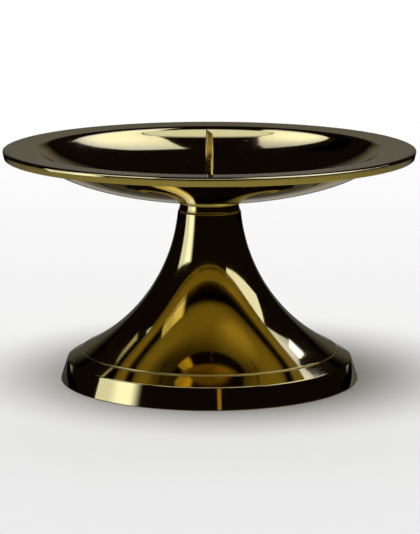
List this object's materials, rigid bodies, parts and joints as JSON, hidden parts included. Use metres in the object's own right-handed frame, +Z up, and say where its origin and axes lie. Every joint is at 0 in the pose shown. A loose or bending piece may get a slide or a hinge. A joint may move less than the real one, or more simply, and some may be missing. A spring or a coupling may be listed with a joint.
{
  "type": "pricket candle holder",
  "caption": "Polished brass candle plate with a central spike, on a ringed neck and a hollow trumpet foot. The plate unscrews from the foot.",
  "frame": {"origin": "middle of the ring that the foot stands on", "axes": "+Z up along the turning axis; the spike's ground face looks towards +X"},
  "size_m": [0.15, 0.15, 0.0918],
  "materials": {
    "foot_brass": "mirror polished outside, dull turned inside",
    "neck_brass": "mirror polished",
    "dish_brass": "mirror polished",
    "spike_brass": "turned and polished, ground point",
    "washer_brass": "dull",
    "plated_steel": "bright zinc plate"
  },
  "bodies": {
    "foot": {"trumpet_foot": "foot_brass", "crown_washer": "washer_brass", "lock_washer": "plated_steel", "hex_nut": "plated_steel"},
    "collar": {"neck_collar": "neck_brass"},
    "dish": {"drip_dish": "dish_brass", "dish_boss": "neck_brass", "pricket_spike": "spike_brass"}
  },
  "joints": [
    {"name": "dish_rise", "type": "slide", "parent": "foot", "child": "collar", "axis": [0, 0, 1], "range_m": [0, 0.0065]},
    {"name": "dish_turn", "type": "hinge", "parent": "collar", "child": "dish", "pos_m": [0, 0, 0.06685], "axis": [0, 0, 1], "range_deg": [0, 2880]}
  ],
  "couplings": [
    {"joint": "dish_rise", "follows": "dish_turn", "m_per_rad": 0.00012732}
  ]
}
